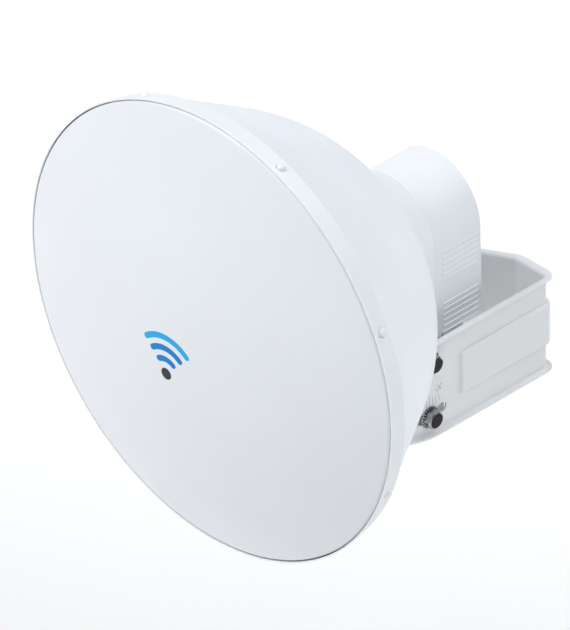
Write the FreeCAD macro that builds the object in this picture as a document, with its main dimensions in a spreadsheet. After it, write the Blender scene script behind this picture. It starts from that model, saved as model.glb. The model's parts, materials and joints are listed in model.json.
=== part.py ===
"""Outdoor wireless bridge: a covered dish antenna and its radio on a tilting pole bracket.

Millimetres, +Z up.  The origin is the middle of the bracket's back wall, where the pole clamps
bolt on.  +Y points at the pole and the dish looks along -Y.  Everything that tilts is drawn about
the axis of the dish, with Y = 0 in the plane of its rim, and is then moved back and up together.
"""
import FreeCAD, Part
import math
import os
import Sketcher

# Driving dimensions, in millimetres and degrees.  They fill the spreadsheet.
DIMENSIONS = {
    # where the dish sits on the bracket
    "face_to_pole": 286.0,
    "axis_height": 101.0,
    # bowl: a spun sheet, round at the back, straight-sided towards the rim
    "bowl_radius": 167.0,
    "cone_angle": 59.7,
    "bowl_wall": 2.0,
    "rim_depth": 17.0,
    "hub_depth": 158.0,
    "hub_bore": 14.4,
    "bowl_flange_radius": 186.0,
    # the stack of parts clamped at the rim, each measured back from the rim plane
    "cover_back": 2.6,
    "gasket_back": 3.6,
    "flange_back": 5.4,
    "gasket_bore": 181.5,
    "gasket_radius": 186.2,
    # front cover: a shallow dome with a rolled edge
    "cover_sphere": 388.3,
    "cover_crown": 48.0,
    "cover_wall": 2.0,
    "cover_radius": 186.6,
    "cover_roll": 4.0,
    "cover_land": 178.0,
    # rim ring and its radial screws
    "ring_front_radius": 188.6,
    "ring_back_radius": 185.6,
    "ring_width": 16.5,
    "ring_front_bore": 187.4,
    "ring_back_bore": 183.9,
    "ring_step": 6.0,
    "ring_edge_round": 0.5,
    "rim_screw_count": 8,
    "rim_screw_start": 20.0,
    "rim_screw_station": 8.5,
    "rim_screw_seat": 186.2,
    "rim_screw_end": 178.5,
    "rim_head_radius": 4.0,
    "rim_head_height": 3.6,
    "rim_seat_radius": 4.3,
    # small screws
    "screw_radius": 2.0,
    "screw_hole": 2.15,
    "screw_tap": 2.05,
    "screw_head_radius": 3.7,
    "case_screw_head_radius": 3.3,
    "screw_head_height": 2.6,
    # feed
    "tube_radius": 14.0,
    "tube_wall": 2.0,
    "tube_front": 96.0,
    "lens_plug_depth": 12.0,
    "lens_throat": 11.9,
    "lens_front": 72.0,
    "lens_radius": 30.0,
    "splash_radius": 32.0,
    "splash_gauge": 3.0,
    "splash_boss": 9.0,
    "feed_nut_radius": 24.0,
    "feed_nut_bore": 14.1,
    "feed_nut_gauge": 6.0,
    "feed_nut_notch": 3.0,
    "housing_radius": 16.5,
    "housing_back": 181.0,
    "housing_cavity": 12.0,
    "wing_front": 166.0,
    "wing_back": 178.0,
    "wing_reach": 26.0,
    "wing_top": -4.0,
    "wing_bottom": -16.0,
    "probe_radius": 0.8,
    "probe_station": 171.0,
    "probe_gap": 4.0,
    # radio-frequency jumpers
    "jumper_offset": 20.0,
    "jumper_radius": 1.3,
    "jumper_bend": 20.0,
    "jumper_straight": 2.0,
    "socket_radius": 3.2,
    "socket_length": 10.0,
    "plug_radius": 3.7,
    "plug_length": 6.0,
    "feed_socket_station": 172.0,
    # tilt yoke
    "yoke_gauge": 3.0,
    "yoke_plate_half": 50.0,
    "yoke_shelf_top": -61.0,
    "yoke_web_back": 172.0,
    "yoke_foot": -137.0,
    "ear_outside": 61.7,
    "ear_front": 143.0,
    "ear_neck_front": 147.0,
    "ear_foot_back": 181.0,
    "ear_step_high": -100.0,
    "ear_step_low": -108.0,
    "hub_screw_place": 28.3,
    # neck between the bowl and the radio
    "neck_front_half": 55.0,
    "neck_back_half": 47.0,
    "neck_back": 186.5,
    "neck_wall": 2.5,
    "neck_draft": 1.0,
    "neck_front_gauge": 4.0,
    "neck_bottom": -56.0,
    "neck_front_bore": 17.0,
    # radio plate, whose edge is the ridge in front of the shroud
    "plate_half": 46.9,
    "plate_back": 190.0,
    "plate_bottom": -77.0,
    "plate_window": 42.0,
    "plate_window_sill": -8.0,
    "plate_edge_round": 0.9,
    # radio shroud
    "shroud_half": 45.0,
    "shroud_foot_half": 46.2,
    "shroud_back": 236.0,
    "shroud_foot_back": 237.4,
    "shroud_wall": 2.5,
    "shroud_edge_round": 1.2,
    "rib_front": 196.0,
    "rib_back": 232.5,
    "rib_pitch": 5.0,
    "rib_count": 6,
    "rib_upper": -4.7,
    "rib_lower": -51.0,
    "rib_height": 0.55,
    "rib_base": 1.7,
    "rib_crest": 0.8,
    "shroud_boss_inside": 33.0,
    "shroud_boss_half": 3.6,
    "shroud_boss_place": 36.5,
    "shroud_boss_high": -14.0,
    "shroud_boss_low": -68.0,
    "shroud_boss_length": 4.0,
    # radio
    "radio_half": 37.0,
    "radio_top": -4.0,
    "radio_bottom": -130.0,
    "radio_front": 194.5,
    "radio_seam": 204.0,
    "radio_seal": 1.0,
    "radio_wall": 2.2,
    "radio_front_round": 1.3,
    "radio_seal_inset": 0.55,
    "radio_back_wall": 225.5,
    "radio_corner": 5.0,
    "fin_back": 229.5,
    "fin_gauge": 1.8,
    "fin_pitch": 7.0,
    "fin_count": 9,
    "fin_top": -14.0,
    "fin_bottom": -88.0,
    "radio_socket_station": 212.0,
    "board_half": 26.5,
    "board_top": -10.0,
    "board_bottom": -116.0,
    "board_front": 210.0,
    "board_gauge": 1.6,
    "can_half": 20.0,
    "can_top": -22.0,
    "can_bottom": -74.0,
    "can_depth": 3.0,
    "jack_half": 8.0,
    "jack_place": 11.5,
    "jack_front": 211.8,
    "jack_back": 222.8,
    "jack_top": -114.0,
    "jack_bottom": -134.0,
    "jack_bore_half": 5.9,
    "case_boss_radius": 3.4,
    "case_screw_place": 30.5,
    "case_screw_high": -10.5,
    "case_screw_low": -111.0,
    "light_place": 4.0,
    "light_height": -94.0,
    "light_radius": 1.3,
    "light_gap": 0.05,
    "light_stand": 1.0,
    "ground_place": 22.0,
    "ground_height": -107.0,
    "catch_height": -107.0,
    "catch_radius": 4.5,
    "catch_hole": 4.8,
    "catch_flange": 5.6,
    "catch_flange_gauge": 1.8,
    "catch_front": 220.8,
    "catch_back": 228.4,
    "cradle_half": 18.0,
    "cradle_top": -20.0,
    "cradle_bottom": -70.0,
    "cradle_rail": 4.0,
    # sliding cover over the sockets in the foot of the radio
    "port_cover_bottom": -142.0,
    "port_cover_rim": -118.0,
    "port_cover_gap": 0.3,
    "port_cover_wall": 2.0,
    "port_slot_half": 17.0,
    "port_slot_front": 212.5,
    "port_slot_back": 222.0,
    # pivot and locking bolts
    "pivot_station": 161.0,
    "pivot_height": -75.0,
    "lock_drop": 50.0,
    "bolt_radius": 4.0,
    "bolt_end": 50.0,
    "bolt_flange_radius": 9.0,
    "bolt_flange_gauge": 1.6,
    "bolt_flange_slope": 0.5,
    "bolt_head_end": 74.6,
    "bolt_head_flats": 13.0,
    "bolt_crown_radius": 6.1,
    "bolt_crown_drop": 1.1,
    "bolt_seat_gap": 0.1,
    "nut_flats": 13.0,
    "nut_gauge": 6.5,
    "nut_bore": 4.05,
    "spacer_radius": 9.0,
    "spacer_bore": 4.1,
    "spacer_gap": 0.1,
    # bracket: a pressed steel band, open to the front, with a V for the pole in its back wall
    "band_outside": 66.6,
    "band_gauge": 2.0,
    "band_flange": 4.5,
    "vee_flange": 2.2,
    "band_half_height": 42.0,
    "band_front": -162.0,
    "band_corner": 5.0,
    "vee_half": 33.0,
    "vee_angle": 28.0,
    "vee_round": 5.0,
    "vee_nose_round": 8.0,
    "nose_top": -133.0,
    "nose_low": -154.0,
    "nose_low_height": -20.0,
    "sweep_start": -116.0,
    "sweep_radius": 90.0,
    "sweep_reach": 34.0,
    "nose_round": 14.0,
    "panel_start": -93.0,
    "panel_end": 42.0,
    "panel_half": 18.3,
    "panel_rise": 3.0,
    "panel_round": 2.2,
    "panel_corner": 8.0,
    "slot_angle": 15.5,
    "slot_half": 4.5,
    "pivot_hole": 4.08,
    "clamp_half_x": 55.5,
    "clamp_half_z": 25.0,
    "clamp_hole": 4.5,
    "flange_edge_round": 0.8,
    "flange_bend": 1.5,
    "flange_crown_top": 3.2,
    "flange_crown_foot": 1.9,
    # how far a cutting outline reaches past what it cuts
    "overshoot": 1.0,
}


# a cut this many sizes long passes right through
RIGHT_THROUGH = 3
# slack of comparisons: of computed values, of places in mm, and of a bent tube's volume
ROUNDING = 1e-6
NEAR = 0.05
TUBE_VOLUME_SLACK = 0.02


class Size:
    """A number of the model with the spreadsheet expression that gives it."""

    def __init__(self, value, text):
        self.value = float(value)
        self.text = text

    def __add__(self, other):
        other = size(other)
        return Size(self.value + other.value, f"({self.text} + {other.text})")

    def __sub__(self, other):
        other = size(other)
        return Size(self.value - other.value, f"({self.text} - {other.text})")

    def __mul__(self, other):
        other = size(other)
        return Size(self.value * other.value, f"({self.text} * {other.text})")

    def __truediv__(self, other):
        other = size(other)
        return Size(self.value / other.value, f"({self.text} / {other.text})")

    def __neg__(self):
        return Size(-self.value, f"(0 - {self.text})")

    def __radd__(self, other):
        return size(other) + self

    def __rsub__(self, other):
        return size(other) - self

    def __rmul__(self, other):
        return size(other) * self


def size(number):
    """A Size as it is, or a plain number made into one."""
    if isinstance(number, Size):
        return number
    return Size(number, f"({float(number):.6f})")


def root(number):
    return Size(math.sqrt(number.value), f"sqrt({number.text})")


def sine(angle):
    angle = size(angle)
    return Size(math.sin(math.radians(angle.value)), f"sin({angle.text})")


def cosine(angle):
    angle = size(angle)
    return Size(math.cos(math.radians(angle.value)), f"cos({angle.text})")


def tangent(angle):
    angle = size(angle)
    return Size(math.tan(math.radians(angle.value)), f"tan({angle.text})")


class Sheet:
    """The spreadsheet, whose cells are read as attributes."""

    def __init__(self, doc):
        cells = doc.addObject("Spreadsheet::Sheet", "Sizes")
        for row, (alias, value) in enumerate(DIMENSIONS.items(), start=1):
            cells.set(f"A{row}", alias)
            cells.set(f"B{row}", str(value))
            cells.setAlias(f"B{row}", alias)
        doc.recompute()

    def __getattr__(self, alias):
        return Size(DIMENSIONS[alias], f"Sizes.{alias}")


doc = FreeCAD.newDocument("outdoor_wireless_bridge")
S = Sheet(doc)
TILTING = (0.0, -S.face_to_pole, S.axis_height)
FIXED = (0.0, 0.0, 0.0)
PIVOT = (0.0, S.pivot_station - S.face_to_pole, S.pivot_height + S.axis_height)
LOCK = (0.0, S.pivot_station - S.face_to_pole, S.pivot_height + S.axis_height - S.lock_drop)
nodes = []


# ---------------------------------------------------------------- drawing helpers

def new_body(label, place=TILTING):
    """An empty body at its place; it may hold several separate solids."""
    body = doc.addObject("PartDesign::Body", label)
    body.Label = label
    body.AllowCompound = True
    for axis, amount in zip("xyz", place):
        body.setExpression(f"Placement.Base.{axis}", size(amount).text)
    nodes.append(body)
    return body


def origin_part(body, role):
    return next(item for item in body.Origin.OriginFeatures if item.Role == role)


def sketch_on(body, plane, shift=0, turn=None):
    """A sketch on one of the body's own planes, moved along its normal and turned about Y."""
    sketch = body.newObject("Sketcher::SketchObject", f"{body.Label}_sketch")
    sketch.AttachmentSupport = [(origin_part(body, plane), "")]
    sketch.MapMode = "FlatFace"
    if turn is not None:
        spin = FreeCAD.Rotation(FreeCAD.Vector(0, 1, 0), turn.value)
        sketch.AttachmentOffset = FreeCAD.Placement(FreeCAD.Vector(), spin)
        sketch.setExpression("AttachmentOffset.Rotation.Angle", turn.text)
    sketch.setExpression("AttachmentOffset.Base.z", size(shift).text)
    return sketch


def bind(sketch, kind, where, length):
    """Add one dimension to a sketch and tie it to the spreadsheet."""
    number = sketch.addConstraint(Sketcher.Constraint(kind, *where, length.value))
    sketch.setExpression(f"Constraints[{number}]", length.text)


def pin(sketch, edge, end, across, up):
    """Fix a point of the sketch at (across, up) from its origin."""
    bind(sketch, "DistanceX", (-1, 1, edge, end), across)
    bind(sketch, "DistanceY", (-1, 1, edge, end), up)


def arc_between(start, end, radius):
    """The shorter arc from start to end, turning left when the radius is positive."""
    chord = end - start
    middle = (start + end) / 2
    left = FreeCAD.Vector(-chord.y, chord.x, 0).normalize()
    offset = math.sqrt(max(radius * radius - chord.Length ** 2 / 4, 0))
    centre = middle + left * math.copysign(offset, radius)
    circle = Part.Circle(centre, FreeCAD.Vector(0, 0, 1), abs(radius))
    first, last = (start, end) if radius > 0 else (end, start)
    angles = [math.atan2(p.y - centre.y, p.x - centre.x) for p in (first, last)]
    if angles[1] <= angles[0]:
        angles[1] += 2 * math.pi
    return Part.ArcOfCircle(circle, *angles)


def draw_path(sketch, corners, closed=True):
    """Lines through the corners; one given as (x, y, radius) is reached by an arc."""
    places = [tuple(size(value) for value in corner) for corner in corners]
    points = [FreeCAD.Vector(place[0].value, place[1].value, 0) for place in places]
    first = sketch.GeometryCount
    ends = []
    steps = range(len(places)) if closed else range(1, len(places))
    for step in steps:
        if len(places[step]) == 2:
            edge = Part.LineSegment(points[step - 1], points[step])
            ends.append((1, 2))
        else:
            radius = places[step][2].value
            edge = arc_between(points[step - 1], points[step], radius)
            ends.append((1, 2) if radius > 0 else (2, 1))
        sketch.addGeometry(edge, False)
    count = len(ends)
    for number in range(count if closed else count - 1):
        following = (number + 1) % count
        joint = (first + number, ends[number][1], first + following, ends[following][0])
        sketch.addConstraint(Sketcher.Constraint("Coincident", *joint))
    if not closed:
        pin(sketch, first, ends[0][0], *places[0][:2])
    for number, step in enumerate(steps):
        pin(sketch, first + number, ends[number][1], *places[step][:2])
        if len(places[step]) == 3:
            bow = places[step][2] if places[step][2].value > 0 else -places[step][2]
            bind(sketch, "Radius", (first + number,), bow)
    return sketch


def draw_circle(sketch, across, up, radius):
    across, up, radius = size(across), size(up), size(radius)
    centre = FreeCAD.Vector(across.value, up.value, 0)
    number = sketch.addGeometry(Part.Circle(centre, FreeCAD.Vector(0, 0, 1), radius.value), False)
    pin(sketch, number, 3, across, up)
    bind(sketch, "Radius", (number,), radius)
    return sketch


def draw_box(sketch, low_x, low_y, high_x, high_y):
    return draw_path(sketch, [(low_x, low_y), (high_x, low_y), (high_x, high_y), (low_x, high_y)])


def draw_round_box(sketch, half, low, high, corner):
    """A box about the upright axis, with rounded corners."""
    return draw_path(sketch, [
        (corner - half, low, corner),
        (half - corner, low),
        (half, low + corner, corner),
        (half, high - corner),
        (half - corner, high, corner),
        (corner - half, high),
        (-half, high - corner, corner),
        (-half, low + corner),
    ])


def draw_hexagon(sketch, across, up, flats):
    corner = flats / cosine(30) / 2
    return draw_path(sketch, [(across + corner * cosine(turn), up + corner * sine(turn))
                              for turn in range(0, 360, 60)])


def feature(body, kind, sketch, **settings):
    item = body.newObject(f"PartDesign::{kind}", f"{body.Label}_{kind}")
    item.Profile = sketch
    for name, value in settings.items():
        setattr(item, name, value)
    return item


def pad(body, sketch, length, reverse=False, both=False):
    """Material from the sketch: along its normal, against it, or half to each side."""
    item = feature(body, "Pad", sketch, Reversed=reverse, Midplane=both)
    item.setExpression("Length", size(length).text)
    doc.recompute()
    return item


def must_shrink(body, before, name):
    if not body.Shape.Volume < before - ROUNDING:
        raise RuntimeError(f"{body.Label}: {name} removes nothing")


def cut(body, sketch, length, reverse=False, both=False):
    """A pocket against the sketch's normal, along it, or half to each side."""
    before = body.Shape.Volume
    item = feature(body, "Pocket", sketch, Reversed=reverse, Midplane=both)
    item.setExpression("Length", size(length).text)
    doc.recompute()
    must_shrink(body, before, item.Label)
    return item


def turned(body, sketch, axis="Y_Axis"):
    """A full revolution about one of the body's axes."""
    item = feature(body, "Revolution", sketch, ReferenceAxis=(origin_part(body, axis), [""]))
    doc.recompute()
    return item


def grooved(body, sketch, axis="Y_Axis"):
    """A full turn of material removed about one of the body's axes."""
    before = body.Shape.Volume
    item = feature(body, "Groove", sketch, ReferenceAxis=(origin_part(body, axis), [""]))
    doc.recompute()
    must_shrink(body, before, item.Label)
    return item


def repeat_round(body, original, count, axis="Y_Axis"):
    pattern = body.newObject("PartDesign::PolarPattern", f"{body.Label}_round")
    pattern.Originals = [original]
    pattern.Axis = (origin_part(body, axis), [""])
    pattern.Angle = 360
    pattern.setExpression("Occurrences", count.text)
    body.Tip = pattern
    doc.recompute()


def repeat_along(body, original, count, pitch, axis):
    pattern = body.newObject("PartDesign::LinearPattern", f"{body.Label}_row")
    pattern.Originals = [original]
    pattern.Direction = (origin_part(body, axis), [""])
    pattern.setExpression("Length", ((count - 1) * pitch).text)
    pattern.setExpression("Occurrences", count.text)
    body.Tip = pattern
    doc.recompute()


def mirrored(body, originals, plane="YZ_Plane"):
    mirror = body.newObject("PartDesign::Mirrored", f"{body.Label}_mirror")
    mirror.Originals = originals
    mirror.MirrorPlane = (origin_part(body, plane), [""])
    body.Tip = mirror
    doc.recompute()


def rounded(body, radius, wanted):
    """Round the edges of the body for which wanted(edge) is true."""
    base = body.Tip
    names = [f"Edge{number}" for number, edge in enumerate(base.Shape.Edges, start=1) if wanted(edge)]
    item = body.newObject("PartDesign::Fillet", f"{body.Label}_round_edges")
    item.Base = (base, names)
    item.setExpression("Radius", radius.text)
    doc.recompute()
    return item


def lies(edge, **limits):
    """True if the whole edge lies within the limits, such as x=(low, high)."""
    box = edge.BoundBox
    spans = {"x": (box.XMin, box.XMax), "y": (box.YMin, box.YMax), "z": (box.ZMin, box.ZMax)}
    slack = 0.02
    return all(low - slack <= spans[axis][0] and spans[axis][1] <= high + slack
               for axis, (low, high) in limits.items())


def is_along(edge, direction):
    """True for a straight edge parallel to the direction."""
    if edge.Curve.TypeId != "Part::GeomLine":
        return False
    return abs(abs(edge.Curve.Direction.dot(FreeCAD.Vector(*direction))) - 1) < ROUNDING


# ---------------------------------------------------------------- the dish

def on_cone(station, radius):
    """Distance from the axis of the bowl's straight flank, at a depth behind the rim."""
    return (radius - station * cosine(S.cone_angle)) / sine(S.cone_angle)


def bowl_side(radius, back):
    """The flank, round back and hub of one face of the bowl, from the rim inwards."""
    return [
        (S.rim_depth, on_cone(S.rim_depth, radius)),
        (radius * cosine(S.cone_angle), radius * sine(S.cone_angle)),
        (back, root(radius * radius - back * back), -radius),
    ]


def make_reflector():
    body = new_body("reflector_dish")
    inner = S.bowl_radius - S.bowl_wall
    front_hub = S.hub_depth - S.bowl_wall
    outside = bowl_side(S.bowl_radius, S.hub_depth)
    inside = bowl_side(inner, front_hub)
    rim_outside = on_cone(S.rim_depth, S.bowl_radius)
    rim_inside = on_cone(S.rim_depth, inner)
    profile = [
        (S.gasket_back, rim_inside),
        (S.gasket_back, S.bowl_flange_radius),
        (S.flange_back, S.bowl_flange_radius),
        (S.flange_back, rim_outside),
        *outside,
        (S.hub_depth, S.hub_bore),
        (front_hub, S.hub_bore),
        inside[2][:2],
        (*inside[1], inner),
        inside[0],
    ]
    turned(body, draw_path(sketch_on(body, "YZ_Plane"), profile))
    hole = draw_circle(sketch_on(body, "XY_Plane", turn=S.rim_screw_start), 0, S.rim_screw_station,
                       S.screw_hole)
    first = cut(body, hole, S.bowl_flange_radius, reverse=True)
    repeat_round(body, first, S.rim_screw_count)
    holes = sketch_on(body, "XZ_Plane", -S.hub_depth)
    draw_hub_holes(holes, S.screw_tap)
    cut(body, holes, S.bowl_wall * 2, both=True)


def draw_hub_holes(sketch, radius):
    for across in (-S.hub_screw_place, S.hub_screw_place):
        for up in (-S.hub_screw_place, S.hub_screw_place):
            draw_circle(sketch, across, up, radius)


def make_cover():
    """The domed front cover, with a solid land at its edge that seals on the bowl."""
    body = new_body("radome")
    middle = S.cover_sphere - S.cover_crown
    roll_up = S.cover_radius - S.cover_roll
    reach = S.cover_sphere - S.cover_roll
    roll_back = middle - root(reach * reach - roll_up * roll_up)
    stretch = S.cover_sphere / reach
    inner = S.cover_sphere - S.cover_wall
    land_front = middle - root(inner * inner - S.cover_land * S.cover_land)
    profile = [
        (-S.cover_crown, 0),
        (middle + (roll_back - middle) * stretch, roll_up * stretch, -S.cover_sphere),
        (roll_back, S.cover_radius, -S.cover_roll),
        (S.cover_back, S.cover_radius),
        (S.cover_back, S.cover_land),
        (land_front, S.cover_land),
        (S.cover_wall - S.cover_crown, 0, inner),
    ]
    turned(body, draw_path(sketch_on(body, "YZ_Plane"), profile))


def make_gasket():
    body = new_body("radome_gasket")
    sketch = sketch_on(body, "XZ_Plane", -S.cover_back)
    draw_circle(sketch, 0, 0, S.gasket_radius)
    draw_circle(sketch, 0, 0, S.gasket_bore)
    pad(body, sketch, S.gasket_back - S.cover_back, reverse=True)


def make_ring():
    """Clamp ring round the rim: tapered outside, stepped inside, spot-faced for its screws."""
    body = new_body("rim_ring")
    profile = [
        (0, S.ring_front_bore),
        (0, S.ring_front_radius - S.ring_edge_round),
        (S.ring_edge_round, S.ring_front_radius, -S.ring_edge_round),
        (S.ring_width - S.ring_edge_round, S.ring_back_radius),
        (S.ring_width, S.ring_back_radius - S.ring_edge_round, -S.ring_edge_round),
        (S.ring_width, S.ring_back_bore),
        (S.ring_step, S.ring_back_bore),
        (S.ring_step, S.ring_front_bore),
    ]
    turned(body, draw_path(sketch_on(body, "YZ_Plane"), profile))
    hole = draw_circle(sketch_on(body, "XY_Plane", turn=S.rim_screw_start), 0, S.rim_screw_station,
                       S.screw_hole)
    first = cut(body, hole, S.ring_front_radius + S.overshoot, reverse=True)
    repeat_round(body, first, S.rim_screw_count)
    seat = sketch_on(body, "XY_Plane", S.rim_screw_seat * cosine(S.rim_screw_start),
                     turn=S.rim_screw_start)
    seat.setExpression("AttachmentOffset.Base.x", (S.rim_screw_seat * sine(S.rim_screw_start)).text)
    draw_circle(seat, 0, S.rim_screw_station, S.rim_seat_radius)
    first = cut(body, seat, S.rim_head_height, reverse=True)
    repeat_round(body, first, S.rim_screw_count)


def make_rim_screws():
    """Eight dome-headed screws, pointing at the axis of the dish."""
    body = new_body("rim_screws")
    sketch = sketch_on(body, "YZ_Plane")
    sketch.AttachmentOffset = FreeCAD.Placement(FreeCAD.Vector(), FreeCAD.Rotation())
    sketch.setExpression("AttachmentOffset.Base.x", S.rim_screw_station.text)
    dome = (S.rim_head_radius * S.rim_head_radius + S.rim_head_height * S.rim_head_height) \
        / (S.rim_head_height * 2)
    profile = [
        (0, S.rim_screw_end),
        (S.screw_radius, S.rim_screw_end),
        (S.screw_radius, S.rim_screw_seat),
        (S.rim_head_radius, S.rim_screw_seat),
        (0, S.rim_screw_seat + S.rim_head_height, dome),
    ]
    draw_path(sketch, profile)
    first = feature(body, "Revolution", sketch, ReferenceAxis=(sketch, ["V_Axis"]))
    doc.recompute()
    repeat_round(body, first, S.rim_screw_count)
    body.Placement = FreeCAD.Placement(body.Placement.Base, FreeCAD.Rotation(FreeCAD.Vector(0, 1, 0), 1))
    body.setExpression("Placement.Rotation.Angle", S.rim_screw_start.text)
    doc.recompute()


# ---------------------------------------------------------------- the feed

def make_feed_tube():
    body = new_body("feed_tube")
    sketch = sketch_on(body, "XZ_Plane", -S.tube_front)
    draw_circle(sketch, 0, 0, S.tube_radius)
    draw_circle(sketch, 0, 0, S.tube_radius - S.tube_wall)
    pad(body, sketch, S.hub_depth + S.yoke_gauge - S.tube_front, reverse=True)


def make_feed_lens():
    """Dielectric cone that plugs into the tube and carries the splash plate."""
    body = new_body("feed_lens")
    profile = [
        (S.lens_front, 0),
        (S.lens_front, S.lens_radius),
        (S.lens_front + S.splash_gauge, S.lens_radius),
        (S.tube_front, S.lens_throat),
        (S.tube_front + S.lens_plug_depth, S.lens_throat),
        (S.tube_front + S.lens_plug_depth, 0),
    ]
    turned(body, draw_path(sketch_on(body, "YZ_Plane"), profile))


def make_splash_plate():
    body = new_body("splash_plate")
    profile = [
        (S.lens_front, 0),
        (S.lens_front - S.splash_gauge * 2, 0),
        (S.lens_front - S.splash_gauge * 2, S.splash_boss),
        (S.lens_front - S.splash_gauge, S.splash_boss * 2),
        (S.lens_front - S.splash_gauge, S.splash_radius),
        (S.lens_front, S.splash_radius),
    ]
    turned(body, draw_path(sketch_on(body, "YZ_Plane"), profile))


def make_feed_nut():
    """Slotted ring nut inside the bowl that holds the feed in the hub."""
    body = new_body("feed_nut")
    front = S.hub_depth - S.bowl_wall - S.feed_nut_gauge
    sketch = sketch_on(body, "XZ_Plane", -front)
    draw_circle(sketch, 0, 0, S.feed_nut_radius)
    draw_circle(sketch, 0, 0, S.feed_nut_bore)
    pad(body, sketch, S.feed_nut_gauge, reverse=True)
    notch = sketch_on(body, "XZ_Plane", -front)
    draw_box(notch, -S.feed_nut_notch, S.feed_nut_radius - S.feed_nut_notch,
             S.feed_nut_notch, S.feed_nut_radius + S.feed_nut_notch)
    first = cut(body, notch, S.feed_nut_gauge * 2, both=True)
    repeat_round(body, first, size(4))


def make_feed_housing():
    """Polariser housing behind the hub, with a wing each side for the jumper sockets."""
    body = new_body("feed_housing")
    front = S.hub_depth + S.yoke_gauge
    disc = draw_circle(sketch_on(body, "XZ_Plane", -front), 0, 0, S.housing_radius)
    pad(body, disc, S.housing_back - front, reverse=True)
    wings = sketch_on(body, "XZ_Plane", -S.wing_front)
    draw_box(wings, -S.wing_reach, S.wing_bottom, S.wing_reach, S.wing_top)
    pad(body, wings, S.wing_back - S.wing_front, reverse=True)
    cavity = draw_circle(sketch_on(body, "XZ_Plane", -front), 0, 0, S.housing_cavity)
    cut(body, cavity, S.probe_station + S.probe_gap - front)


def make_probes():
    """Two crossed pins that pick up the two polarisations in the housing."""
    body = new_body("feed_probes")
    upright = sketch_on(body, "XY_Plane", S.probe_gap)
    draw_circle(upright, 0, S.probe_station, S.probe_radius)
    pad(body, upright, S.housing_cavity - S.probe_gap)
    level = sketch_on(body, "YZ_Plane", S.probe_gap)
    draw_circle(level, S.probe_station, 0, S.probe_radius)
    pad(body, level, S.housing_cavity - S.probe_gap)


def make_pair(label, station, bottom, length, radius):
    """Two upright cylinders, one each side, where the jumpers end."""
    body = new_body(label)
    for across in (-S.jumper_offset, S.jumper_offset):
        sketch = sketch_on(body, "XY_Plane", bottom)
        draw_circle(sketch, across, station, radius)
        pad(body, sketch, length)
    return body


def make_sockets():
    for label, station in (("feed_sockets", S.feed_socket_station),
                           ("radio_sockets", S.radio_socket_station)):
        make_pair(label, station, S.wing_top, S.socket_length, S.socket_radius)


def make_jumper_plugs():
    body = make_pair("jumper_plugs", S.feed_socket_station, S.wing_top + S.socket_length,
                     S.plug_length, S.plug_radius)
    for across in (-S.jumper_offset, S.jumper_offset):
        sketch = sketch_on(body, "XY_Plane", S.wing_top + S.socket_length)
        draw_circle(sketch, across, S.radio_socket_station, S.plug_radius)
        pad(body, sketch, S.plug_length)


def make_jumper(label, across):
    """A jumper lead: up out of one plug, over in a half circle and down into the other."""
    body = new_body(label)
    start = S.wing_top + S.socket_length + S.plug_length
    shoulder = start + S.jumper_straight
    middle = S.feed_socket_station + S.jumper_bend
    route = sketch_on(body, "YZ_Plane", across)
    draw_path(route, [
        (S.feed_socket_station, start),
        (S.feed_socket_station, shoulder),
        (middle, shoulder + S.jumper_bend, -S.jumper_bend),
        (S.radio_socket_station, shoulder, -S.jumper_bend),
        (S.radio_socket_station, start),
    ], closed=False)
    section = draw_circle(sketch_on(body, "XY_Plane", start), across, S.feed_socket_station,
                          S.jumper_radius)
    doc.recompute()
    tube = feature(body, "AdditivePipe", section)
    tube.Spine = (route, [f"Edge{number}" for number in range(1, 5)])
    doc.recompute()
    length = 2 * S.jumper_straight.value + math.pi * S.jumper_bend.value
    expected = math.pi * S.jumper_radius.value ** 2 * length
    if abs(body.Shape.Volume / expected - 1) > TUBE_VOLUME_SLACK:
        raise RuntimeError(f"{label}: volume {body.Shape.Volume} instead of {expected}")


# ---------------------------------------------------------------- yoke, neck and plate

def draw_arch(sketch, half, foot_half, foot, start=0):
    """An arch: a half circle standing on two straight sides that end at the foot."""
    draw_path(sketch, [
        (-foot_half, foot),
        (foot_half, foot),
        (half, start),
        (0, half + start, half),
        (-half, start, half),
    ])
    return sketch


def make_yoke():
    """Pressed bracket: a plate on the hub, a shelf, a web and two ears for the bolts."""
    body = new_body("tilt_yoke")
    plate = sketch_on(body, "XZ_Plane", -S.hub_depth)
    draw_arch(plate, S.yoke_plate_half, S.yoke_plate_half, S.yoke_shelf_top - S.yoke_gauge)
    draw_circle(plate, 0, 0, S.hub_bore)
    draw_hub_holes(plate, S.screw_tap)
    pad(body, plate, S.yoke_gauge, reverse=True)
    shelf = sketch_on(body, "XY_Plane", S.yoke_shelf_top)
    draw_box(shelf, -S.yoke_plate_half, S.hub_depth, S.yoke_plate_half, S.yoke_web_back)
    pad(body, shelf, S.yoke_gauge, reverse=True)
    web = sketch_on(body, "XZ_Plane", -S.yoke_web_back)
    draw_box(web, -S.ear_outside, S.yoke_foot, S.ear_outside, S.yoke_shelf_top)
    pad(body, web, S.yoke_gauge)
    ear = sketch_on(body, "YZ_Plane", S.ear_outside)
    draw_path(ear, [
        (S.ear_front, S.yoke_foot),
        (S.ear_foot_back, S.yoke_foot),
        (S.ear_foot_back, S.ear_step_low),
        (S.yoke_web_back, S.ear_step_high),
        (S.yoke_web_back, S.yoke_shelf_top),
        (S.ear_neck_front, S.yoke_shelf_top),
        (S.ear_neck_front, S.ear_step_high),
        (S.ear_front, S.ear_step_low),
    ])
    draw_circle(ear, S.pivot_station, S.pivot_height, S.nut_bore)
    draw_circle(ear, S.pivot_station, S.pivot_height - S.lock_drop, S.nut_bore)
    first = pad(body, ear, S.yoke_gauge, reverse=True)
    mirrored(body, [first])


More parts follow.
